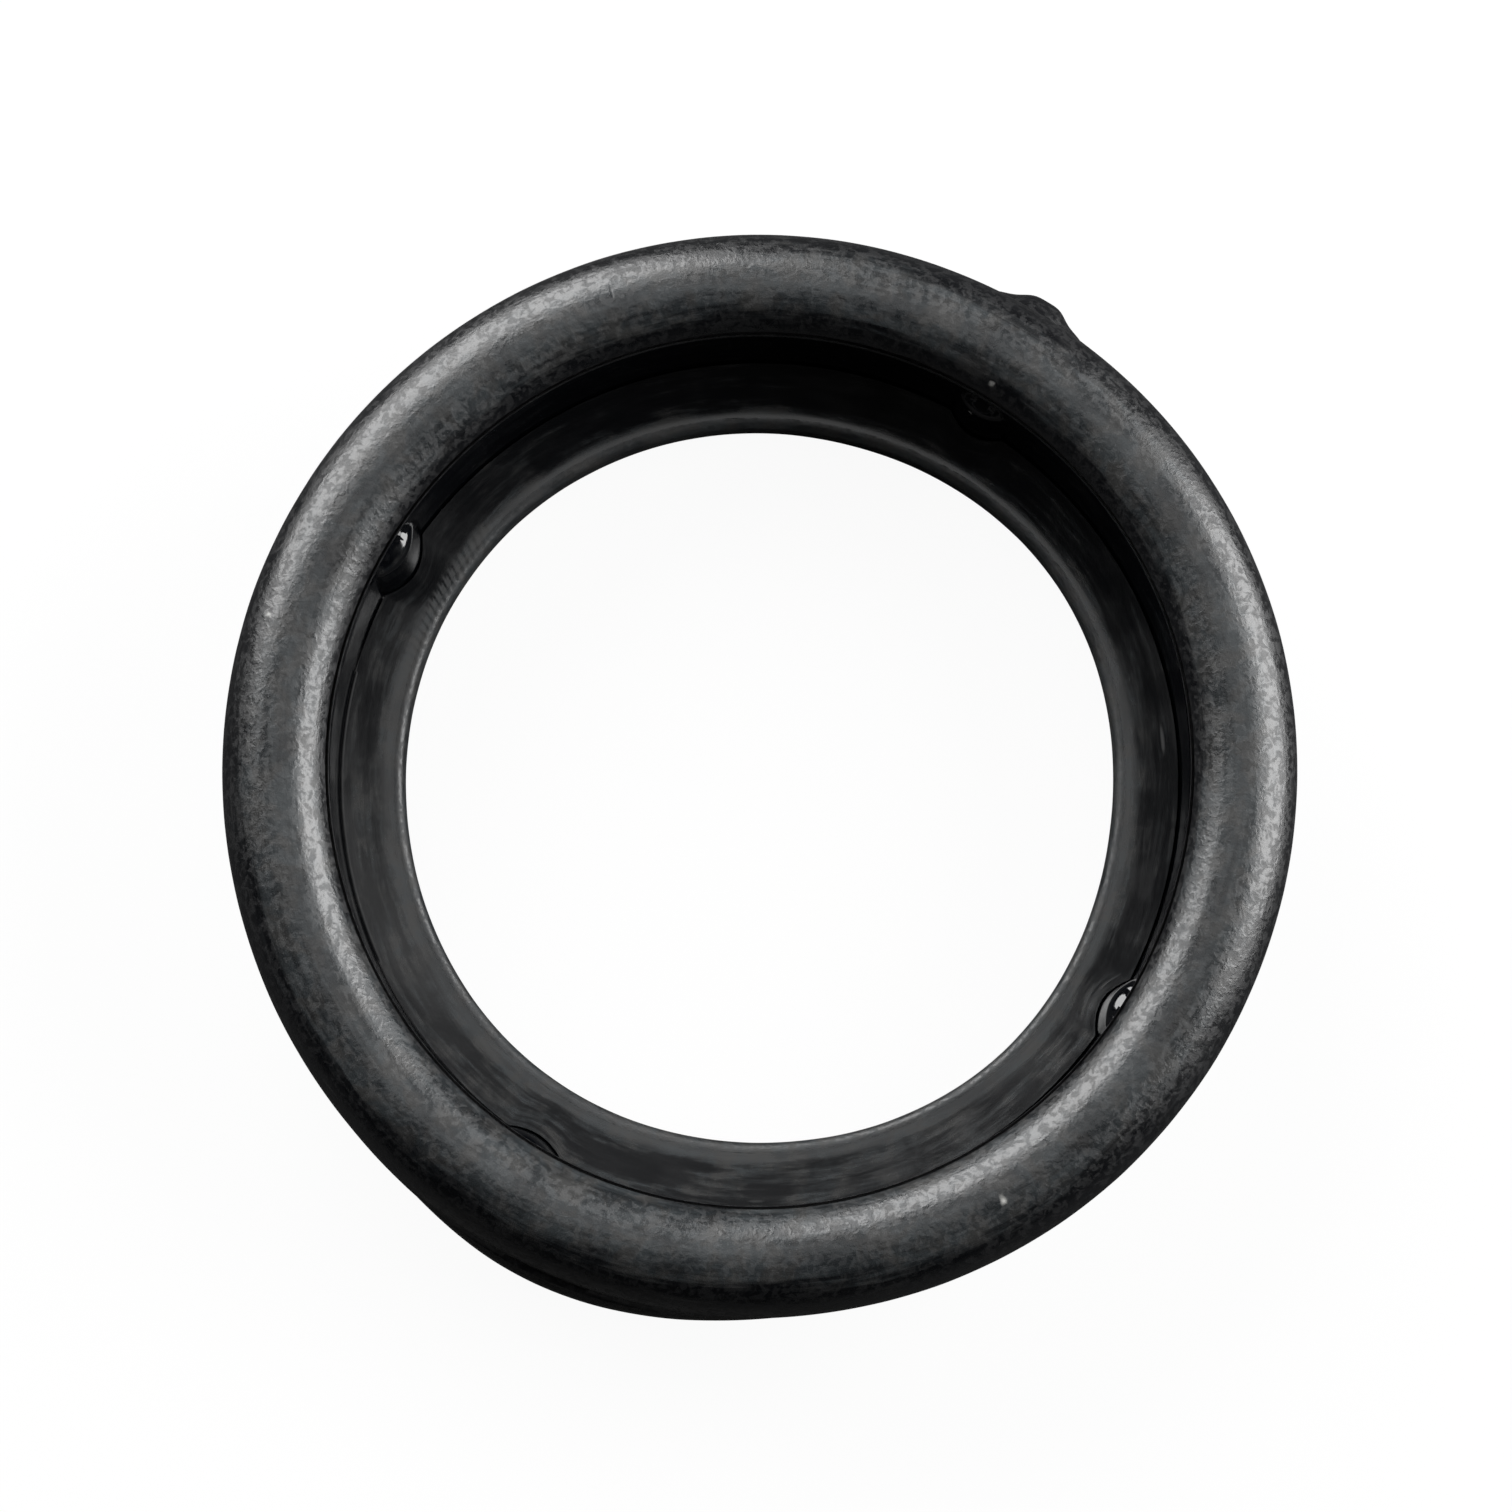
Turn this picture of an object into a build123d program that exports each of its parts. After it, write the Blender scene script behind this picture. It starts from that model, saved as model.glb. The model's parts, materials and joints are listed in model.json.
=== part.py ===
"""Spark plug tube seal: one moulded rubber ring, at real size, in millimetres and degrees.

A round bead crowns a short wall, and a lip reaches inwards from the foot of the wall to
grip the tube.  Four small nubs stand on the inside of the wall.  Outside, just below the
bead, there is one lug and a shallow swelling across the ring from it.

The origin is on the ring's axis in the plane of its base, and +Z points up to the bead.
"""
import os
from math import cos, radians, sin, sqrt

from build123d import *

# The ring
OUTER_DIAMETER = 42.3  # over the bead
BORE_DIAMETER = 29.0  # at the lip's edge, where the tube goes
HEIGHT = 9.0  # base to the bead's crown
BEAD_WIDTH = 4.15  # the bead is round in section and flush with the inside of the wall
BODY_SETBACK = 0.5  # the outside of the wall stands this far inside the bead's widest line
FOOT_CHAMFER = 0.5  # round the outside of the base

# The lip
LIP_ROOT_TOP = 2.9  # top of the lip where it leaves the wall
LIP_EDGE_TOP = 2.0  # top of the lip at its edge, so it falls towards the bore
LIP_EDGE_THICKNESS = 1.4  # the flat band that touches the tube, with its rounded corners
LIP_FREE_WIDTH = 1.3  # width of the lip that is relieved underneath and clear of the base
RIM_ROUNDING = 0.2  # both corners of the lip's edge
ROOT_ROUNDING = 0.25  # inner corner between the lip and the wall

# Nubs on the inside of the wall, a quarter turn apart
NUB_RADIUS = 1.85
NUB_RISE = 1.1  # centre above the lip's root
NUB_STANDINGS = (0.7, 0.7, 0.35, 0.55)  # how far each stands out of the wall, in turn

# Lug on the outside, in line with the first nub
LUG_DIRECTION = 58.7
LUG_RADIUS = 1.6
LUG_REACH = 1.05  # beyond the bead's widest line
LUG_DROP = 1.8  # centre below the bead's widest line

# Swelling on the outside, bent to a smaller radius than the ring so that it fades at its ends
SWELLING_DIRECTION = 247.3
SWELLING_BEND = 15.3  # radius of its outer edge
SWELLING_REACH = 0.6  # beyond the bead's widest line
SWELLING_ROUNDING = 1.1  # radius of its section
SWELLING_DROP = 2.2  # centre below the bead's widest line
SWELLING_SWEEP = 90.0  # angle it is swept through; its ends lie inside the wall

# Places worked out from these
outer_radius = OUTER_DIAMETER / 2
bore_radius = BORE_DIAMETER / 2
bead_radius = BEAD_WIDTH / 2
bead_line = outer_radius - bead_radius  # radius of the ring through the bead's middle
bead_height = HEIGHT - bead_radius
wall_inside = outer_radius - BEAD_WIDTH
wall_outside = outer_radius - BODY_SETBACK
wall_top = bead_height - sqrt(bead_radius**2 - (wall_outside - bead_line) ** 2)
lip_edge_underside = LIP_EDGE_TOP - LIP_EDGE_THICKNESS


def on_ring(radius, angle, height):
    """The point at this radius, direction and height."""
    return (radius * cos(radians(angle)), radius * sin(radians(angle)), height)


def corner(outline, radius, height):
    """The corner of a half section that lies nearest to this radius and height."""
    return outline.vertices().sort_by_distance((radius, height, 0))[0]


with BuildPart() as tube_seal:
    # The ring, turned from its half section
    with BuildSketch(Plane.XZ) as section:
        with BuildLine():
            ThreePointArc(
                (wall_inside, bead_height),
                (bead_line, HEIGHT),
                (wall_outside, wall_top),
            )
            Polyline(
                (wall_outside, wall_top),
                (wall_outside, FOOT_CHAMFER),
                (wall_outside - FOOT_CHAMFER, 0),
                (bore_radius + LIP_FREE_WIDTH, 0),
                (bore_radius, lip_edge_underside),
                (bore_radius, LIP_EDGE_TOP),
                (wall_inside, LIP_ROOT_TOP),
                (wall_inside, bead_height),
            )
        make_face()
        fillet(corner(section, bore_radius, LIP_EDGE_TOP), RIM_ROUNDING)
        fillet(corner(section, bore_radius, lip_edge_underside), RIM_ROUNDING)
        fillet(corner(section, wall_inside, LIP_ROOT_TOP), ROOT_ROUNDING)
    revolve(axis=Axis.Z)

    # Nubs
    for turn, standing in enumerate(NUB_STANDINGS):
        nub_line = wall_inside + NUB_RADIUS - standing
        direction = LUG_DIRECTION + 360 / len(NUB_STANDINGS) * turn
        with Locations(on_ring(nub_line, direction, LIP_ROOT_TOP + NUB_RISE)):
            Sphere(NUB_RADIUS)

    # Lug
    lug_line = outer_radius + LUG_REACH - LUG_RADIUS
    with Locations(on_ring(lug_line, LUG_DIRECTION, bead_height - LUG_DROP)):
        Sphere(LUG_RADIUS)

    # Swelling: an arc of a ring of its own, set off centre
    swelling_shift = outer_radius + SWELLING_REACH - SWELLING_BEND
    swelling_centre = on_ring(swelling_shift, SWELLING_DIRECTION, bead_height - SWELLING_DROP)
    with Locations(swelling_centre):
        Torus(
            SWELLING_BEND - SWELLING_ROUNDING,
            SWELLING_ROUNDING,
            major_angle=SWELLING_SWEEP,
            rotation=(0, 0, SWELLING_DIRECTION - SWELLING_SWEEP / 2),
            align=None,
        )

tube_seal.part.label = "tube_seal"

os.makedirs("parts", exist_ok=True)
export_step(tube_seal.part, "parts/tube_seal.step")
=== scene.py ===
"""Spark plug tube seal: the moulded rubber ring, dressed and lit.

The ring is swept as one closed mesh from a detailed half section.  What isn't the same all
the way round (nubs, lug, swelling, marks, and the ring being a little out of round) moves
the section as it goes.  Lengths in this script are in millimetres and angles in degrees;
lengths turn into metres where the mesh, the floor, the lamps and the camera are made.
"""
import json
from math import acos, cos, degrees, hypot, pi, radians, sin, sqrt, tan

import bpy
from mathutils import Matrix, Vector, noise


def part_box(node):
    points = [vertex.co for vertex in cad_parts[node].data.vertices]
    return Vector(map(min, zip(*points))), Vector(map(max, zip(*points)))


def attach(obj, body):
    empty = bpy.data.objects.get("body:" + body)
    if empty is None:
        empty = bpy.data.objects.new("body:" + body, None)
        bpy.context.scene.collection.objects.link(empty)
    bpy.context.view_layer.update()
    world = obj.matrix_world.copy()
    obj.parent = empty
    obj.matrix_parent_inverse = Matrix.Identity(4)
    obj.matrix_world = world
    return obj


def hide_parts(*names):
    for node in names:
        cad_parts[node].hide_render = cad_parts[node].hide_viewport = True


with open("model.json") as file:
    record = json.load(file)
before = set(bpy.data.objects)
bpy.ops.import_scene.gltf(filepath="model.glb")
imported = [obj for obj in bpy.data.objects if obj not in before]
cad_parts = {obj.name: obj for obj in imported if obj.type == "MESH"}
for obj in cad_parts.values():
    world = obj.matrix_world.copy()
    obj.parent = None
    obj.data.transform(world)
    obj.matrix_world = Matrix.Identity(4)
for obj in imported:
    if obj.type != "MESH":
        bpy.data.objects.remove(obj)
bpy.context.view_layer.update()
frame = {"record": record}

MM = 0.001
NODE = "tube_seal"

mounts = {mount["name"]: mount for mount in frame["record"]["mounts"]}

# ---------------------------------------------------------------- sizes of the section

OUTER_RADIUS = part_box(NODE)[1].x / MM
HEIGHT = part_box(NODE)[1].z / MM
BORE_RADIUS = mounts["tube_bore"]["dims"]["r_mm"]

BEAD_RADIUS = 2.075
BEAD_LEAN = 0.165  # the crest stands this far inside the middle of the bead
BEAD_FLANK = 2.08  # radius of the bead's inner half, which ends at the slot
BODY_SETBACK = 0.5  # outside of the wall, inside the bead's widest line
FOOT_ROUNDING = 0.5  # round the outside of the base
LIP_ROOT_TOP = 2.85  # top of the lip where it leaves the wall
LIP_EDGE_TOP = 2.25  # top of the lip at its edge
LIP_LAND = 0.55  # width by the edge that is nearly flat, before the lip rises to the wall
LIP_HINGE = 0.3  # how gently it turns there
LIP_EDGE_THICKNESS = 1.4
LIP_FREE_WIDTH = 1.3  # width that is relieved underneath
RIM_ROUNDING = 0.35  # both corners of the lip's edge
RIM_TURNS = (92, 245)  # directions of their start and end, counted from outwards to up

BEAD_LINE = OUTER_RADIUS - BEAD_RADIUS - BEAD_LEAN  # radius of the crest
BEAD_HEIGHT = HEIGHT - BEAD_RADIUS  # height of the bead's widest line
WALL_INSIDE = OUTER_RADIUS - 2 * BEAD_RADIUS
WALL_OUTSIDE = OUTER_RADIUS - BODY_SETBACK

# hairlines left by the mould: a slot under the bead's inner edge, behind a thin flap at the
# top of the wall, and a line at the foot of the wall
SEAM_EDGE = 0.05  # the bead ends this far outside the wall's inner face
FLAP_STANDING = 0.07  # the flap's face stands this far into the ring
SLOT_SIDE = ((0.02, 0.04), (0.03, 0.374), (0, 0.44))  # (out from, down from) the bead's inner edge
# (out from the flap's face, down from the bead's inner edge), up the flap's back and over its top
FLAP_SIDE = ((0.05, 0.418), (0.04, 0.18), (0.02, 0.14), (0, 0.18))
FOOT_LINE_WIDTH = 0.08
FOOT_LINE_DEPTH = 0.22
FOOT_LINE_FADED = 0.06  # its depth where it has faded away
FOOT_LINE_SETBACK = 0.01  # its bottom lies this far inside the wall's inner face

# steps along each stretch of the section
BEAD_STEPS = (30, 22)  # outer half, inner half
WALL_STEPS = (4, 30)  # above the nubs, and along them
WALL_ROWS = (0.05, 0.15)  # above the nubs' tops: where the wide rows end, and the narrow ones start
LIP_STEPS = 24
RIM_STEPS = (7, 3, 4)  # upper corner, edge, lower corner
UNDER_STEPS = (4, 7, 5)  # below the lip, base, rounding of the foot
OUTSIDE_STEPS = 14


# ---------------------------------------------------------------- what varies round the ring

# (turns per circle, size, direction of one peak)
BEAD_OVAL = ((2, 0.147, 85.9), (3, 0.034, 21.9), (5, 0.013, 20.9))
LIP_OVAL = (
    (0, -0.03, 0),
    (1, 0.044, 54),
    (2, 0.079, 92.7),
    (3, 0.044, 33.0),
    (4, 0.081, 40.4),
    (5, 0.027, 25.2),
)

# the lug is a nose on a broad foot that sinks back into the wall at both ends
LUG_DIRECTION = 58.7
LUG_DROP = 1.8  # its middle, below the bead's widest line
LUG_HALF_HEIGHT = 1.9
LUG_NOSE = (0.58, 1.02, 4)  # reach, half width, how squarely it ends
LUG_FOOT = (1.07, 2.6, 8)
LUG_SINK = 0.6
LUG_BLEND = 0.05

# the swelling is a ridge under the bead, and the bead stands out a little over it
SWELLING_DIRECTION = 246.8
SWELLING_SPREAD = (29.0, 37.0)  # degrees it takes to fade, one way and the other
SWELLING_FADE = 1.5  # how soon it fades
SWELLING_REACH = 0.58
SWELLING_PUSH = 0.23  # how far the bead stands out
SWELLING_HALF_HEIGHT = 1.25
SWELLING_HALF_WIDTH = 1.0
SWELLING_DROP = 2.2  # its middle, below the bead's widest line
SWELLING_SINK = 0.55  # how far its ends sink below the bead's widest line
SWELLING_ENDS = (4, 55, 0.25)  # degrees on to their middle, half sweep, how late they sink
SWELLING_BLEND = 0.12
SIDE_TOP = BEAD_HEIGHT + 0.1  # the lug and the swelling shape the outside below this height

# (direction, standing at the foot, radius of its curve seen from above)
NUBS = ((58.7, 0.5, 1.5), (148.7, 0.65, 1.66), (238.3, 0.36, 2.1), (327.0, 0.58, 1.5))
NUB_TOP = 6.4  # height where its sloping top leaves the wall
NUB_SLOPE = 35  # of its top, from level
NUB_ROUNDING = 0.6  # of the shoulder between the top and the flank
NUB_FLARE = 0.1  # the flank stands this much further out at the foot
NUB_BLEND = 0.04
NUB_GROOVE = (0.07, 0.09)  # depth and half width of the fine line round a nub
NUB_FALL = 2  # height over which the wall follows a nub's foot down
# a nub's foot pushes the lip's shoulder inwards
NUB_PUSH_START = 0.5  # width by the bore that isn't pushed
NUB_PUSH_REST = 0.6  # that, and the width by the wall that is pushed in full

# fine ribs on the lip, over a short stretch
RIB_DIRECTION = 149.0
RIB_REACH = 16.0  # degrees to each side
RIB_PITCH = 1.35  # degrees
RIB_RADII = (14.6, 15.3)
RIB_FADE = 0.85  # below 1, they fade out a little beyond those radii
RIB_HEIGHT = 0.012
RIB_SLANT = 2.2  # degrees of lean over each millimetre of radius

# (direction, radius, half width across the ring, half length along it, depth)
NICKS = ((107.4, 19.3, 0.28, 0.06, 0.05),)  # on the bead
ARCS = ((5.8, 16.48, 0.05, 0.75, 0.03), (269.5, 16.75, 0.05, 0.5, 0.02))  # on the lip
# (direction, radius, size, depth): one flat oblong spot on the bead
SPOTS = ((295.0, 17.87, 0.42, 0.02),)
SPOT_SQUASH = 1.45  # how much longer than wide it is
SPOT_STEEPNESS = 2.2  # of its edge

# (direction, radius, height, size): pale specks of dust
DUST = (
    (58.7, 17.46, 8.47, 0.17),
    (59.8, 16.67, 5.6, 0.13),
    (163.2, 19.98, 8.76, 0.13),
    (298.8, 19.25, 8.98, 0.16),
)
DUST_STEEPNESS = 1.6  # of a speck's edge

# the line at the foot is broken into strokes at the left, and faint below
FOOT_LEFT = (165, 50)  # direction, half sweep
FOOT_BELOW = (222, 76)
FOOT_CLOSED = 0.95  # how far closed it is there
FOOT_STROKE_CLOSED = 0.7  # and along the strokes
# degrees to a cell of noise, the place in it, and the level above which there is a stroke
FOOT_STROKES = (3.1, 7.7, -0.05)
FOOT_NUB_SPREAD = 4.5  # degrees beside a nub over which it is open
FOOT_LEAST = 0.02  # how open it is at least

# (millimetres to a cell on the level, and upwards, shift, size): slow swells, small lumps
UNEVEN = ((4.2, 2.5, 0, 0.016), (1.3, 0.9, 40, 0.0055))
UNEVEN_FADE = 0.5  # width beside the line at the foot over which they fade

# degrees from one direction round the ring to the next, and where they lie closer together:
# (what is there, half sweep, step)
STEP = 1.0
FINE_STEPS = (
    (NUBS, 6.0, 0.33),
    ([(LUG_DIRECTION,)], 8.0, 0.4),
    ([(RIB_DIRECTION,)], RIB_REACH, 0.26),
    (NICKS, 0.7, 0.1),
    (ARCS, 3.0, 0.3),
    (SPOTS, 2.0, 0.2),
    (DUST, 0.9, 0.15),
)


def turn_between(a, b):
    """Signed angle from b to a, between -180 and 180."""
    return (a - b + 180) % 360 - 180


def bump(x):
    """A smooth hump: 1 in the middle, 0 from -1 down and from 1 up."""
    return (1 - x * x) ** 2 if abs(x) < 1 else 0.0


def hold(x):
    """The number, held between 0 and 1."""
    return min(max(x, 0), 1)


def oval(terms, angle):
    return sum(size * cos(radians(turns * (angle - peak))) for turns, size, peak in terms)


def oblong(mark, radius, angle):
    """How much of a mark (direction, radius, half width, half length, amount) lies here."""
    direction, middle, width, length, amount = mark
    along = radius * radians(turn_between(angle, direction)) / length
    return amount * bump(along) * bump((radius - middle) / width)


def smooth_max(a, b, blend):
    """The larger of two lengths, rounded over where they meet."""
    near = max(blend - abs(a - b), 0) / blend
    return max(a, b) + near * near * blend / 4


def smooth_min(a, b, blend):
    return -smooth_max(-a, -b, blend)


def with_lug(radius, height, angle):
    drop = (height - (BEAD_HEIGHT - LUG_DROP)) / LUG_HALF_HEIGHT
    along = OUTER_RADIUS * radians(turn_between(angle, LUG_DIRECTION))
    nose, foot = [
        reach / (1 + (along / half_width) ** squareness)
        for reach, half_width, squareness in (LUG_NOSE, LUG_FOOT)
    ]
    reach = OUTER_RADIUS + (nose + foot) * (1 - drop * drop) - LUG_SINK
    return smooth_max(radius, reach, LUG_BLEND)


def swelling(angle):
    """How much of the swelling there is in this direction, 0 to 1."""
    turn = turn_between(angle, SWELLING_DIRECTION)
    spread = SWELLING_SPREAD[1] if turn > 0 else SWELLING_SPREAD[0]
    return bump(turn / spread) ** SWELLING_FADE


def with_swelling(radius, height, angle):
    share = hold((radius - BEAD_LINE) / (OUTER_RADIUS - BEAD_LINE))
    radius += SWELLING_PUSH * swelling(angle) * share * share
    drop = (height - (BEAD_HEIGHT - SWELLING_DROP)) / SWELLING_HALF_HEIGHT
    if abs(drop) >= 1:
        return radius
    shift, half_sweep, lateness = SWELLING_ENDS
    sunk = 1 - bump(turn_between(angle, SWELLING_DIRECTION + shift) / half_sweep) ** lateness
    reach = OUTER_RADIUS + SWELLING_REACH * swelling(angle) - SWELLING_SINK * sunk
    section = SWELLING_HALF_WIDTH * sqrt(1 - drop * drop)
    return smooth_max(radius, reach - SWELLING_HALF_WIDTH + section, SWELLING_BLEND)


def nub_standing(height, angle):
    """How far the nearest nub stands out of the wall here; below 0 beside it."""
    direction, standing, bend = min(NUBS, key=lambda nub: abs(turn_between(angle, nub[0])))
    along = WALL_INSIDE * radians(turn_between(angle, direction))
    slope = radians(NUB_SLOPE)
    top = (NUB_TOP - height) / tan(slope)
    # the shoulder is a circle that touches the sloping top and the upright flank
    flank = standing - NUB_FLARE
    level = NUB_TOP - tan(slope) * (flank - NUB_ROUNDING * (1 - sin(slope)))
    level -= NUB_ROUNDING * cos(slope)
    if height < level:
        reach = flank + NUB_FLARE * (level - height) / (level - LIP_ROOT_TOP)
    elif height < level + NUB_ROUNDING * cos(slope):
        reach = flank - NUB_ROUNDING + sqrt(NUB_ROUNDING**2 - (height - level) ** 2)
    else:
        reach = top
    return reach - along * along / (2 * bend)


def with_nubs(radius, height, angle):
    standing = nub_standing(height, angle)
    depth, half_width = NUB_GROOVE
    groove = depth * bump(standing / half_width)
    return smooth_min(radius, WALL_INSIDE - standing, NUB_BLEND) + groove


def ribs(radius, angle):
    """Height of the fine ribs on the lip."""
    middle = (RIB_RADII[0] + RIB_RADII[1]) / 2
    across = (radius - middle) / (RIB_RADII[1] - middle)
    along = turn_between(angle, RIB_DIRECTION)
    envelope = bump(across * RIB_FADE) * bump(along / RIB_REACH)
    if envelope == 0:
        return 0.0
    phase = (along + RIB_SLANT * (radius - middle)) / RIB_PITCH
    return RIB_HEIGHT * envelope * cos(2 * pi * phase)


def marks(radius, height, angle, role):
    """How far nicks, spots and shallow marks sink the surface here."""
    depth = 0.0
    if role == "bead" and height > BEAD_HEIGHT:
        depth += sum(oblong(nick, radius, angle) for nick in NICKS)
        for direction, middle, size, sink in SPOTS:
            along = radius * radians(turn_between(angle, direction))
            away = hypot(along, (radius - middle) * SPOT_SQUASH) / size
            depth += sink * hold(SPOT_STEEPNESS * (1 - away))
    if role == "lip":
        depth += sum(oblong(mark, radius, angle) for mark in ARCS)
    return depth


def uneven(x, y, z):
    """Slow swells and small lumps of a moulded surface."""
    return sum(
        size * noise.noise(Vector((x / level + shift, y / level, z / upwards)))
        for level, upwards, shift, size in UNEVEN
    )


# ---------------------------------------------------------------- the half section


def arc(centre, radius, start, end, steps, stretch=1.0):
    """Points on an arc, both ends included, stretched sideways."""
    turns = [radians(start + (end - start) * i / steps) for i in range(steps + 1)]
    return [(centre[0] + stretch * radius * cos(t), centre[1] + radius * sin(t)) for t in turns]


def straight(start, end, steps):
    """Points from start towards end, without either."""
    shares = [i / steps for i in range(1, steps)]
    return [tuple(a + (b - a) * s for a, b in zip(start, end)) for s in shares]


def lip_rise(radius):
    """How far the lip has risen at this radius, before it is scaled to its full rise."""
    across = radius - BORE_RADIUS
    return (hypot(across - LIP_LAND, LIP_HINGE) + across - LIP_LAND) / 2


def lip_height(radius):
    """Height of the lip's top: nearly flat by its edge, then a steady rise to the wall's foot."""
    share = lip_rise(radius) / lip_rise(WALL_INSIDE)
    return LIP_EDGE_TOP + (LIP_ROOT_TOP - LIP_EDGE_TOP) * share


def half_section():
    """The closed outline of the ring's section: points (radius, height), and each one's role."""
    points, roles = [], []

    def add(more, role):
        points.extend(more)
        roles.extend([role] * len(more))

    # the bead, from the outside of the wall over its crest to its inner edge
    bead = (BEAD_LINE, BEAD_HEIGHT)
    outer = 1 + BEAD_LEAN / BEAD_RADIUS
    under = -degrees(acos((WALL_OUTSIDE - BEAD_LINE) / (outer * BEAD_RADIUS)))
    flank = (BEAD_LINE, HEIGHT - BEAD_FLANK)
    seam = degrees(acos((WALL_INSIDE + SEAM_EDGE - BEAD_LINE) / BEAD_FLANK))
    add(arc(bead, BEAD_RADIUS, under, 90, BEAD_STEPS[0], outer), "bead")
    add(arc(flank, BEAD_FLANK, 90, seam, BEAD_STEPS[1])[1:], "bead")

    # the slot, the flap and the wall below it
    edge, top = points[-1]
    face = WALL_INSIDE - FLAP_STANDING
    add([(edge + out, top - down) for out, down in SLOT_SIDE], "seam")
    add([(face + out, top - down) for out, down in FLAP_SIDE], "seam")
    wide_end, narrow_start = [(WALL_INSIDE, NUB_TOP + above) for above in WALL_ROWS]
    add(straight(points[-1], wide_end, WALL_STEPS[0]), "wall")
    add(straight(narrow_start, (WALL_INSIDE, LIP_ROOT_TOP), WALL_STEPS[1]), "wall")
    add([(WALL_INSIDE, LIP_ROOT_TOP)], "wall")

    # the line at the foot of the wall, and the lip
    add([(WALL_INSIDE - FOOT_LINE_SETBACK, LIP_ROOT_TOP - FOOT_LINE_DEPTH)], "foot")
    shoulder = WALL_INSIDE - FOOT_LINE_WIDTH
    rim_line = BORE_RADIUS + RIM_ROUNDING
    rim_top = (rim_line, lip_height(rim_line) - RIM_ROUNDING)
    rim_foot = (rim_line, LIP_EDGE_TOP - LIP_EDGE_THICKNESS + RIM_ROUNDING)
    rim = arc(rim_top, RIM_ROUNDING, RIM_TURNS[0], 180, RIM_STEPS[0])
    width = rim[0][0] - shoulder
    lip = [shoulder + width * (i / LIP_STEPS) for i in range(LIP_STEPS)]
    add([(radius, lip_height(radius)) for radius in lip], "lip")
    add(rim, "rim")
    add(straight(rim[-1], (BORE_RADIUS, rim_foot[1]), RIM_STEPS[1]), "rim")
    add(arc(rim_foot, RIM_ROUNDING, 180, RIM_TURNS[1], RIM_STEPS[2]), "rim")

    # the underside, and the outside of the wall up to the bead
    base_inner = (BORE_RADIUS + LIP_FREE_WIDTH, 0)
    base_outer = (WALL_OUTSIDE - FOOT_ROUNDING, 0)
    foot = (base_outer[0], FOOT_ROUNDING)
    add(straight(points[-1], base_inner, UNDER_STEPS[0]), "under")
    add([base_inner], "under")
    add(straight(base_inner, base_outer, UNDER_STEPS[1]), "under")
    add(arc(foot, FOOT_ROUNDING, -90, 0, UNDER_STEPS[2]), "under")
    add(straight(points[-1], points[0], OUTSIDE_STEPS), "outside")
    return points, roles


def outward(points):
    """The direction, square to the outline, that points away from the rubber at each point."""
    count = len(points)
    normals = []
    for i in range(count):
        before, after = points[i - 1], points[(i + 1) % count]
        along = (after[0] - before[0], after[1] - before[1])
        size = hypot(*along)
        normals.append((along[1] / size, -along[0] / size))
    return normals


def foot_line(angle):
    """How open the line at the foot is: clear on the right, broken at the left, faint below."""
    length, place, least = FOOT_STROKES
    in_stroke = noise.noise(Vector((angle / length, place, 0.0))) > least
    left, below = [
        bump(turn_between(angle, direction) / half_sweep)
        for direction, half_sweep in (FOOT_LEFT, FOOT_BELOW)
    ]
    left *= FOOT_STROKE_CLOSED if in_stroke else FOOT_CLOSED
    below *= FOOT_CLOSED
    by_nub = max(bump(turn_between(angle, nub[0]) / FOOT_NUB_SPREAD) for nub in NUBS)
    return max(1 - left - below, min(2 * by_nub, 1), FOOT_LEAST)


def ring_angles():
    """Directions round the ring, closer together where there is fine detail."""
    fine = [(spot[0], reach, step) for spots, reach, step in FINE_STEPS for spot in spots]
    angle, angles = 0.0, []
    while angle < 360:
        angles.append(angle)
        steps = [step for middle, reach, step in fine if abs(turn_between(angle, middle)) < reach]
        angle += min(steps, default=STEP)
    return angles


def ring_point(point, normal, role, angle):
    """Where a point of the half section lies on the real ring at this angle."""
    radius, height = point
    if role == "foot":
        faded = LIP_ROOT_TOP - FOOT_LINE_FADED
        height = faded - (faded - height) * foot_line(angle)
    if role in ("bead", "outside") and radius > BEAD_LINE and height < SIDE_TOP:
        radius = with_swelling(radius, height, angle)
        radius = with_lug(radius, height, angle)
    # the foot of a nub pushes the line and the lip's shoulder inwards, down the lip's slope
    lip_width = WALL_INSIDE - BORE_RADIUS
    pushed = max(nub_standing(LIP_ROOT_TOP, angle), 0)
    fall = pushed * (LIP_ROOT_TOP - LIP_EDGE_TOP) / lip_width
    if role == "wall":
        low = max(1 - (height - LIP_ROOT_TOP) / NUB_FALL, 0)
        radius = with_nubs(radius, height, angle)
        height -= fall * low
    if role in ("foot", "lip"):
        near = hold((radius - BORE_RADIUS - NUB_PUSH_START) / (lip_width - NUB_PUSH_REST))
        radius -= pushed * near
        height -= fall * near
    # then the surface moves in or out, square to the outline
    turn = radians(angle)
    lift = -marks(radius, height, angle, role)
    if role in ("bead", "outside", "rim"):
        lift += uneven(radius * cos(turn), radius * sin(turn), height)
    if role == "lip" or role == "rim" and height > LIP_EDGE_TOP - RIM_ROUNDING:
        lift += ribs(radius, angle)
    if role == "lip":
        fade = min((WALL_INSIDE - FOOT_LINE_WIDTH - point[0]) / UNEVEN_FADE, 1)
        lift += uneven(radius * cos(turn), radius * sin(turn), height) * fade
    radius += normal[0] * lift
    height += normal[1] * lift
    # last, the ring is a little out of round, the bead and the lip each in its own way
    share = hold((radius - BORE_RADIUS) / lip_width)
    radius += share * oval(BEAD_OVAL, angle) + (1 - share) * oval(LIP_OVAL, angle)
    return radius * cos(turn), radius * sin(turn), height


# ---------------------------------------------------------------- what the material reads

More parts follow.
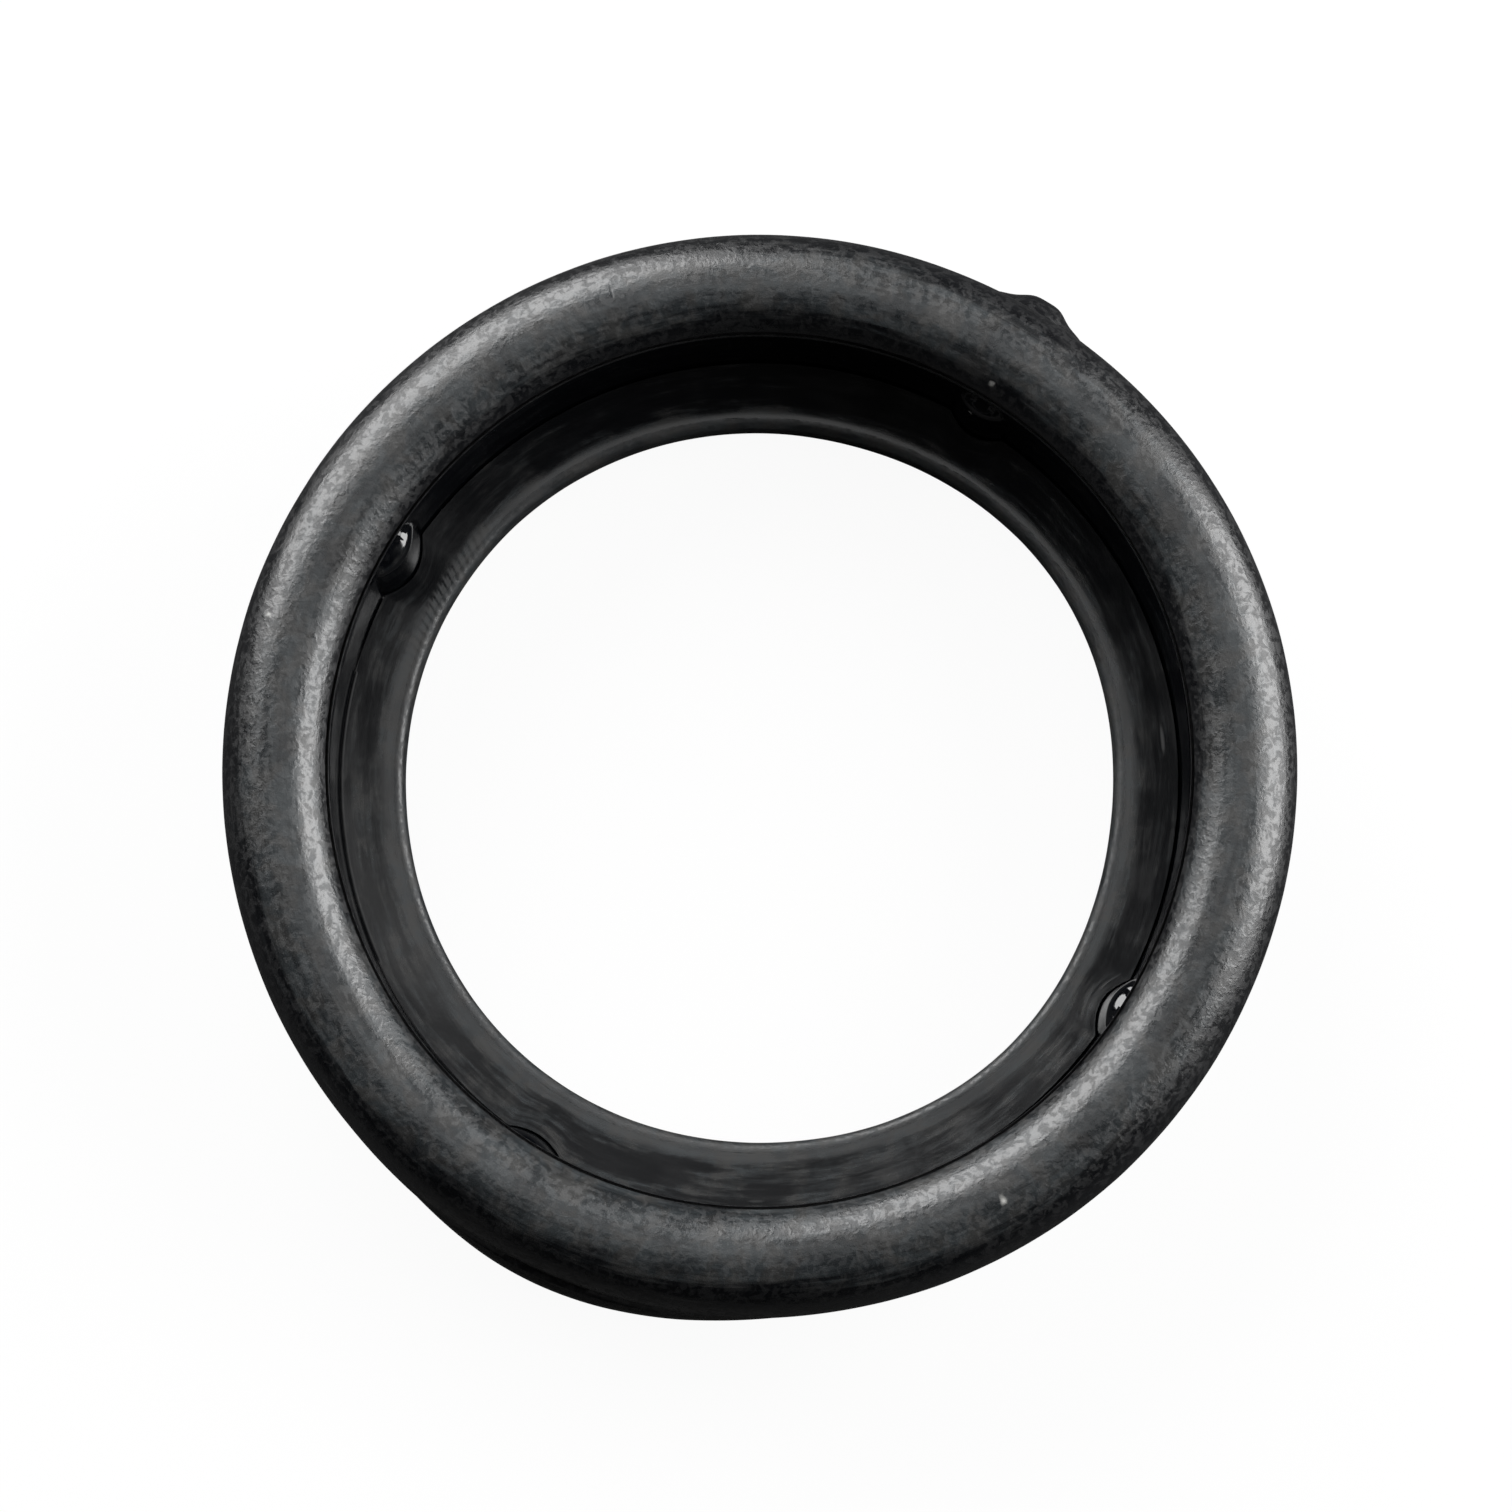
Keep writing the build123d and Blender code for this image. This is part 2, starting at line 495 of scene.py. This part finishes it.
# how much of the pale bloom each part of the section carries, where the bead's crest has 1; the
# function below adds painted light and shade to it
BLOOM_AND_PAINTED_LIGHT = {
    "outside": 0.0,
    "under": 0.3,
    # painted light: the rim is made pale, standing in for the light its rounded edge catches
    "rim": 0.9,
    "lip": 0.3,
    "foot": 0.0,
    "wall": 0.0,
    "seam": 0.0,
}
PAINTED_LIGHT_DIRECTION = 262  # painted light: lip and bead are paler towards this side, and darker across the ring, where shade falls
LIP_SHADED_SIDE_SHARE = 0.1  # share of the lip's bloom that is left across the ring from there, on the side painted in shade
LIP_EDGE_PAINTED_LIGHT = (0.8, 1.15)  # painted light: how much paler the lip is by its edge, away from the shade of the wall and bead, and the width over which it fades
BEAD_SHADED_SIDE_LOSS = 0.25  # painted shade: how much less the bead has across the ring from the side of the painted light
# painted shade, deepest at the bead's inner edge by the slot: what that edge lacks besides, across
# the ring, and how much less that is on the side of the painted light
BEAD_INNER_PAINTED_SHADE = (1.5, 0.9)
BEAD_OUTER_PAINTED_SHADE = 1.15  # painted shade on the bead's outer face: above 1, the bloom ends before the bead's widest line
SWELLING_PAINTED_SHADE = (0.3, 45)  # painted shade: how much sooner the bloom ends over the swelling, which faces away from the lamps, and half sweep of that

# (direction, radius, half width, half length, how much is gone): worn patches on the lip
WORN = (
    (196, 16.3, 0.3, 2.2, 0.4),
    (222, 15.95, 0.2, 2.6, 0.7),
    (237, 15.4, 0.2, 1.5, 0.6),
    (252, 16.1, 0.6, 3.4, 0.9),
    (258, 15.5, 0.25, 1.9, 0.6),
    (271, 16.4, 0.35, 1.3, 0.8),
    (276, 15.3, 0.2, 1.6, 0.5),
    (322, 15.7, 0.25, 1.6, 0.5),
    (344, 16.2, 0.35, 2.5, 0.4),
)

# how much rougher than the bead each part is; below 0 it is smoother
FINISH = {"lip": -0.17, "foot": -0.14, "wall": -0.3, "rim": 0.14, "seam": 0.12}
NUB_FINISH = -0.26
NUB_MARGIN = 0.03  # a nub's finish reaches this far beyond it

SHARP_ANGLE = 48  # edges that turn more than this aren't smoothed over


def bloom_and_painted_light_at(radius, role, angle):
    """How much of the pale bloom lies here, with painted light and shade: paler on one side of the
    ring and by the bore's edge, darker across the ring, at the bead's inner edge and on its outer
    face.
    """
    # painted light and shade: 1 on the side of the painted light, 0 across the ring
    share = cos(radians(angle - PAINTED_LIGHT_DIRECTION)) / 2 + 0.5
    if role == "lip":
        more, width = LIP_EDGE_PAINTED_LIGHT
        bloom = BLOOM_AND_PAINTED_LIGHT["lip"] * (LIP_SHADED_SIDE_SHARE + share)
        # painted light: the lip is paler towards the bore's edge
        bloom += more * max(1 - (radius - BORE_RADIUS) / width, 0)
        for patch in WORN:
            bloom -= oblong(patch, radius, angle)
        return bloom
    if role != "bead":
        return BLOOM_AND_PAINTED_LIGHT[role]
    # painted shade: the bead is darker on the side across the ring
    side_shade = BEAD_SHADED_SIDE_LOSS * (1 - share) ** 2
    if radius < BEAD_LINE:
        inwards = (BEAD_LINE - radius) / (BEAD_LINE - WALL_INSIDE)
        # painted shade: darker towards the bead's inner edge, under the bead, most across the ring
        return 1 - side_shade - (BEAD_INNER_PAINTED_SHADE[0] - BEAD_INNER_PAINTED_SHADE[1] * share) * inwards**3
    # painted shade: the bloom ends before the bead's outer face, sooner over the swelling
    more, half_sweep = SWELLING_PAINTED_SHADE
    sooner = BEAD_OUTER_PAINTED_SHADE + more * bump(turn_between(angle, SWELLING_DIRECTION) / half_sweep)
    fade = min(sooner * (radius - BEAD_LINE) / (OUTER_RADIUS - BEAD_LINE), 1)
    return (1 - side_shade) * (1 - fade * fade * (3 - 2 * fade))


def finish_at(height, role, angle):
    """How much rougher than the bead it is here."""
    if role == "wall" and nub_standing(height, angle) > -NUB_MARGIN:
        return NUB_FINISH
    return FINISH.get(role, 0.0)


def dust_at(place):
    """How much of a dust speck lies here, 0 to 1."""
    most = 0.0
    for direction, radius, height, size in DUST:
        turn = radians(direction)
        away = (place - Vector((radius * cos(turn), radius * sin(turn), height))).length
        most = max(most, hold(DUST_STEEPNESS * (1 - away / size)))
    return most


# ---------------------------------------------------------------- the mesh


def make_ring():
    points, roles = half_section()
    normals = outward(points)
    lengths = [0.0]
    for before, after in zip(points, points[1:]):
        lengths.append(lengths[-1] + hypot(after[0] - before[0], after[1] - before[1]))
    angles = ring_angles()
    count, size = len(angles), len(points)
    verts = []
    # numbers at each point: how far along the section it lies, and what the material reads there
    numbers = {"across": lengths * count, "bloom": [], "finish": [], "dust": []}
    for angle in angles:
        for point, normal, role in zip(points, normals, roles):
            place = Vector(ring_point(point, normal, role, angle))
            verts.append(place * MM)
            numbers["bloom"].append(bloom_and_painted_light_at(point[0], role, angle))
            numbers["finish"].append(finish_at(point[1], role, angle))
            numbers["dust"].append(dust_at(place))
    faces = []
    for i in range(count):
        j = (i + 1) % count
        for k in range(size):
            n = (k + 1) % size
            faces.append((i * size + k, j * size + k, j * size + n, i * size + n))
    mesh = bpy.data.meshes.new("seal_ring")
    mesh.from_pydata(verts, [], faces)
    mesh.shade_smooth()
    mesh.set_sharp_from_angle(angle=radians(SHARP_ANGLE))
    for name, values in numbers.items():
        mesh.attributes.new(name, "FLOAT", "POINT").data.foreach_set("value", values)
    ring = bpy.data.objects.new("seal_ring", mesh)
    bpy.context.scene.collection.objects.link(ring)
    print("ring:", count, "x", size, "points,", 2 * count * size, "triangles")
    return ring


# ---------------------------------------------------------------- nodes


def add_node(tree, kind, inputs=None, **settings):
    """Add a shader node; its inputs are given as values or as the sockets they are joined to."""
    node = tree.nodes.new("ShaderNode" + kind)
    for name, value in settings.items():
        setattr(node, name, value)
    for name, value in (inputs or {}).items():
        if isinstance(value, bpy.types.NodeSocket):
            tree.links.new(value, node.inputs[name])
        else:
            node.inputs[name].default_value = value
    return node


def add_noise(tree, place, scale, detail, roughness, distortion=0.0):
    inputs = {"Vector": place, "Scale": scale, "Detail": detail, "Roughness": roughness}
    return add_node(tree, "TexNoise", inputs | {"Distortion": distortion}).outputs[0]


def add_range(tree, value, span, to_span):
    """Turn a span of a number smoothly into another span, and hold it there beyond."""
    inputs = dict(enumerate((value, *span, *to_span)))
    return add_node(tree, "MapRange", inputs, interpolation_type="SMOOTHSTEP").outputs[0]


def add_math(tree, operation, a, b):
    return add_node(tree, "Math", {0: a, 1: b}, operation=operation).outputs[0]


def add_sum(tree, terms):
    """Add up numbers, each times its weight."""
    total = None
    for value, weight in terms:
        part = add_math(tree, "MULTIPLY", value, weight)
        total = part if total is None else add_math(tree, "ADD", total, part)
    return total


def add_scaled(tree, vector, scale):
    inputs = {0: vector, "Scale": scale}
    return add_node(tree, "VectorMath", inputs, operation="SCALE").outputs[0]


def add_colour_mix(tree, share, a, b):
    return add_node(tree, "Mix", {0: share, 6: a, 7: b}, data_type="RGBA").outputs[2]


def add_shader_mix(tree, share, a, b):
    return add_node(tree, "MixShader", {0: share, 1: a.outputs[0], 2: b.outputs[0]})


def new_nodes(owner):
    """Empty the node tree of a material or a world; give the tree and its Light Path outputs."""
    owner.use_nodes = True
    owner.node_tree.nodes.clear()
    return owner.node_tree, add_node(owner.node_tree, "LightPath").outputs


# ---------------------------------------------------------------- the rubber

COOL_BLOOM = (0.0256, 0.0296, 0.0318, 1)
WARM_BLOOM = (0.0296, 0.0296, 0.0290, 1)
BARE_RUBBER = (0.0015, 0.0018, 0.0026, 1)
DUST_COLOUR = (0.45, 0.45, 0.43, 1)
BEAD_ROUGHNESS = 0.36
RUBBER_SPECULAR = 0.8
RING_RADIUS = 19  # of the circle along which the streaks are measured
HEIGHT_MEAN = 0.026  # of the bump, taken off so that fading it makes no step


def rubber():
    material = bpy.data.materials.new("black_rubber")
    material.use_nodes = True
    tree = material.node_tree
    shader = tree.nodes["Principled BSDF"]

    # places in millimetres
    coordinates = add_node(tree, "TexCoord").outputs["Object"]
    place = add_scaled(tree, coordinates, 1 / MM)
    apart = add_node(tree, "SeparateXYZ", {0: place})
    flat = add_node(tree, "CombineXYZ", {0: apart.outputs[0], 1: apart.outputs[1]}).outputs[0]
    direction = add_node(tree, "VectorMath", {0: flat}, operation="NORMALIZE").outputs[0]
    across, bloom, finish, dust = [
        add_node(tree, "Attribute", attribute_name=name).outputs["Fac"]
        for name in ("across", "bloom", "finish", "dust")
    ]

    def along_ring(around, over):
        """Places with so many cells to the millimetre along the ring, and across it."""
        turned = add_scaled(tree, direction, RING_RADIUS * around)
        up = add_node(tree, "CombineXYZ", {2: add_math(tree, "MULTIPLY", across, over)})
        inputs = {0: turned, 1: up.outputs[0]}
        return add_node(tree, "VectorMath", inputs, operation="ADD").outputs[0]

    patches = add_noise(tree, place, scale=0.45, detail=3, roughness=0.6)
    tints = add_noise(tree, place, scale=0.9, detail=3, roughness=0.6, distortion=0.4)
    stretched = along_ring(around=0.3, over=3.4)
    streaks = add_noise(tree, stretched, scale=1.0, detail=4, roughness=0.62, distortion=0.3)
    stretched = along_ring(around=0.9, over=1.5)
    lumps = add_noise(tree, stretched, scale=1.0, detail=2, roughness=0.55, distortion=0.5)
    mottle = add_noise(tree, place, scale=3.0, detail=3, roughness=0.6, distortion=0.5)
    grain = add_noise(tree, place, scale=6.0, detail=2, roughness=0.5, distortion=0.3)
    cloudy = add_math(tree, "ADD", patches, streaks)

    # the bloom is cloudy and streaky, and ends in a ragged edge; the attribute it starts from
    # carries painted light and shade as well
    warm = add_range(tree, tints, (0.42, 0.62), (0, 1))
    pale = add_colour_mix(tree, warm, COOL_BLOOM, WARM_BLOOM)
    ragged = add_sum(tree, ((tints, 0.5), (mottle, 0.4), (streaks, 1.4)))
    paler = add_range(tree, add_math(tree, "ADD", bloom, ragged), (1.25, 1.75), (0, 1))
    thin = add_range(tree, cloudy, (0.8, 1.15), (0.45, 1))
    paler = add_math(tree, "MULTIPLY", paler, thin)
    colour = add_colour_mix(tree, paler, BARE_RUBBER, pale)
    colour = add_colour_mix(tree, dust, colour, DUST_COLOUR)
    tree.links.new(colour, shader.inputs["Base Color"])

    # the bead is mottled with small smooth spots, which break up its highlights; parts with a
    # smoother finish have none
    worn = add_range(tree, cloudy, (0.8, 1.2), (-0.03, 0.03))
    on_bead = add_range(tree, finish, (-0.16, 0), (0, 1))
    spots = add_range(tree, mottle, (0.41, 0.56), (0.145, -0.06))
    spots = add_math(tree, "MULTIPLY", spots, on_bead)
    varied = add_math(tree, "ADD", worn, spots)
    plain = add_math(tree, "ADD", finish, BEAD_ROUGHNESS)
    tree.links.new(add_math(tree, "ADD", varied, plain), shader.inputs["Roughness"])
    shader.inputs["Specular IOR Level"].default_value = RUBBER_SPECULAR

    # the bump fades on smoother parts, most of all on the wall
    height = add_sum(tree, ((lumps, 0.022), (streaks, 0.008), (mottle, 0.011), (grain, 0.011)))
    height = add_math(tree, "SUBTRACT", height, HEIGHT_MEAN)
    for span, to_span in (((-0.16, 0), (0.07, 1)), ((-0.26, -0.18), (0.15, 1))):
        height = add_math(tree, "MULTIPLY", height, add_range(tree, finish, span, to_span))
    uneven_normal = add_node(tree, "Bump", {"Strength": 1.0, "Distance": MM, "Height": height})
    tree.links.new(uneven_normal.outputs[0], shader.inputs["Normal"])
    return material


# ---------------------------------------------------------------- floor, lights, camera

FLOOR_REACH = 3000.0  # from its middle to each side
FLOOR_SHADE = 0.9  # grey of the part of the floor that takes the shadow
FLOOR_SHADOW_SHARE = 0.06  # how much of that the camera sees, mixed with white
FLOOR_MIRRORED = 0.06  # grey that reflections see
FLOOR_UNSEEN = 0.12  # grey that lights the object from below
WORLD_LIGHT = 0.01

LAMP_DISTANCE = 300
# name, azimuth, elevation, width, height, radiance
LAMPS = (
    ("right_window", 12, 22.3, 270, 246, 7.8),
    ("left_window", 127, 26, 320, 246, 6.7),
    ("overhead", 80, 79, 245, 150, 0.7),
    ("sky", 68, 40, 760, 260, 0.2),
)

CAMERA_ELEVATION = 82.7  # from the -Y side
CAMERA_DISTANCE = 160.0
CAMERA_CLIP_START = 10.0
VIEW_WIDTH = 59.14  # what the camera takes in at the bead's widest line
AIM = (-0.137, 0.44)
SENSOR = 36.0


def make_floor():
    mesh = bpy.data.meshes.new("floor")
    size = FLOOR_REACH * MM
    corners = [(-size, -size, 0), (size, -size, 0), (size, size, 0), (-size, size, 0)]
    mesh.from_pydata(corners, [], [(0, 1, 2, 3)])
    floor = bpy.data.objects.new("floor", mesh)
    bpy.context.scene.collection.objects.link(floor)

    material = bpy.data.materials.new("white_floor")
    tree, rays = new_nodes(material)
    shade, mirrored, unseen = [
        add_node(tree, "BsdfDiffuse", {"Color": (grey, grey, grey, 1)})
        for grey in (FLOOR_SHADE, FLOOR_MIRRORED, FLOOR_UNSEEN)
    ]
    white = add_node(tree, "Emission", {"Strength": 1.0})
    seen = add_shader_mix(tree, FLOOR_SHADOW_SHARE, white, shade)
    # reflections show the floor as the lamps light it, with the object's shadow on it
    reflecting = add_math(tree, "MAXIMUM", rays["Is Glossy Ray"], rays["Is Transmission Ray"])
    other = add_shader_mix(tree, reflecting, unseen, mirrored)
    surface = add_shader_mix(tree, rays["Is Camera Ray"], other, seen)
    add_node(tree, "OutputMaterial", {"Surface": surface.outputs[0]})
    mesh.materials.append(material)


def make_world():
    """A world that is white to the camera and gives hardly any light."""
    world = bpy.data.worlds.new("studio")
    bpy.context.scene.world = world
    tree, rays = new_nodes(world)
    dim, white = [
        add_node(tree, "Background", {"Color": (1, 1, 1, 1), "Strength": strength})
        for strength in (WORLD_LIGHT, 1.0)
    ]
    surface = add_shader_mix(tree, rays["Is Camera Ray"], dim, white)
    add_node(tree, "OutputWorld", {"Surface": surface.outputs[0]})


def make_light(name, azimuth, elevation, width, height, radiance):
    """A soft rectangular lamp that faces the ring. Azimuth is counted from +X towards +Y."""
    lamp = bpy.data.lights.new(name, "AREA")
    lamp.shape = "RECTANGLE"
    lamp.size = width * MM
    lamp.size_y = height * MM
    lamp.energy = pi * radiance * lamp.size * lamp.size_y
    away = Vector((
        cos(radians(azimuth)) * cos(radians(elevation)),
        sin(radians(azimuth)) * cos(radians(elevation)),
        sin(radians(elevation)),
    ))
    light = bpy.data.objects.new(name, lamp)
    light.location = away * LAMP_DISTANCE * MM + Vector((0, 0, HEIGHT * MM))
    light.rotation_mode = "QUATERNION"
    light.rotation_quaternion = away.to_track_quat("Z", "Y")
    light.visible_camera = False
    bpy.context.scene.collection.objects.link(light)


def make_camera():
    camera_data = bpy.data.cameras.new("camera")
    camera_data.sensor_width = SENSOR
    camera_data.lens = SENSOR * CAMERA_DISTANCE / VIEW_WIDTH
    camera_data.clip_start = CAMERA_CLIP_START * MM
    camera = bpy.data.objects.new("camera", camera_data)
    tilt = radians(CAMERA_ELEVATION)
    back = Vector((0, -cos(tilt), sin(tilt)))
    target = Vector((AIM[0], AIM[1], BEAD_HEIGHT)) * MM
    camera.location = target + back * CAMERA_DISTANCE * MM
    camera.rotation_mode = "QUATERNION"
    camera.rotation_quaternion = back.to_track_quat("Z", "Y")
    bpy.context.scene.collection.objects.link(camera)
    bpy.context.scene.camera = camera


# ---------------------------------------------------------------- the scene

ring = make_ring()
ring.data.materials.append(rubber())
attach(ring, "root")
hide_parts(NODE)

make_floor()
make_world()
for lamp in LAMPS:
    make_light(*lamp)
make_camera()

bpy.context.scene.view_settings.view_transform = "Standard"
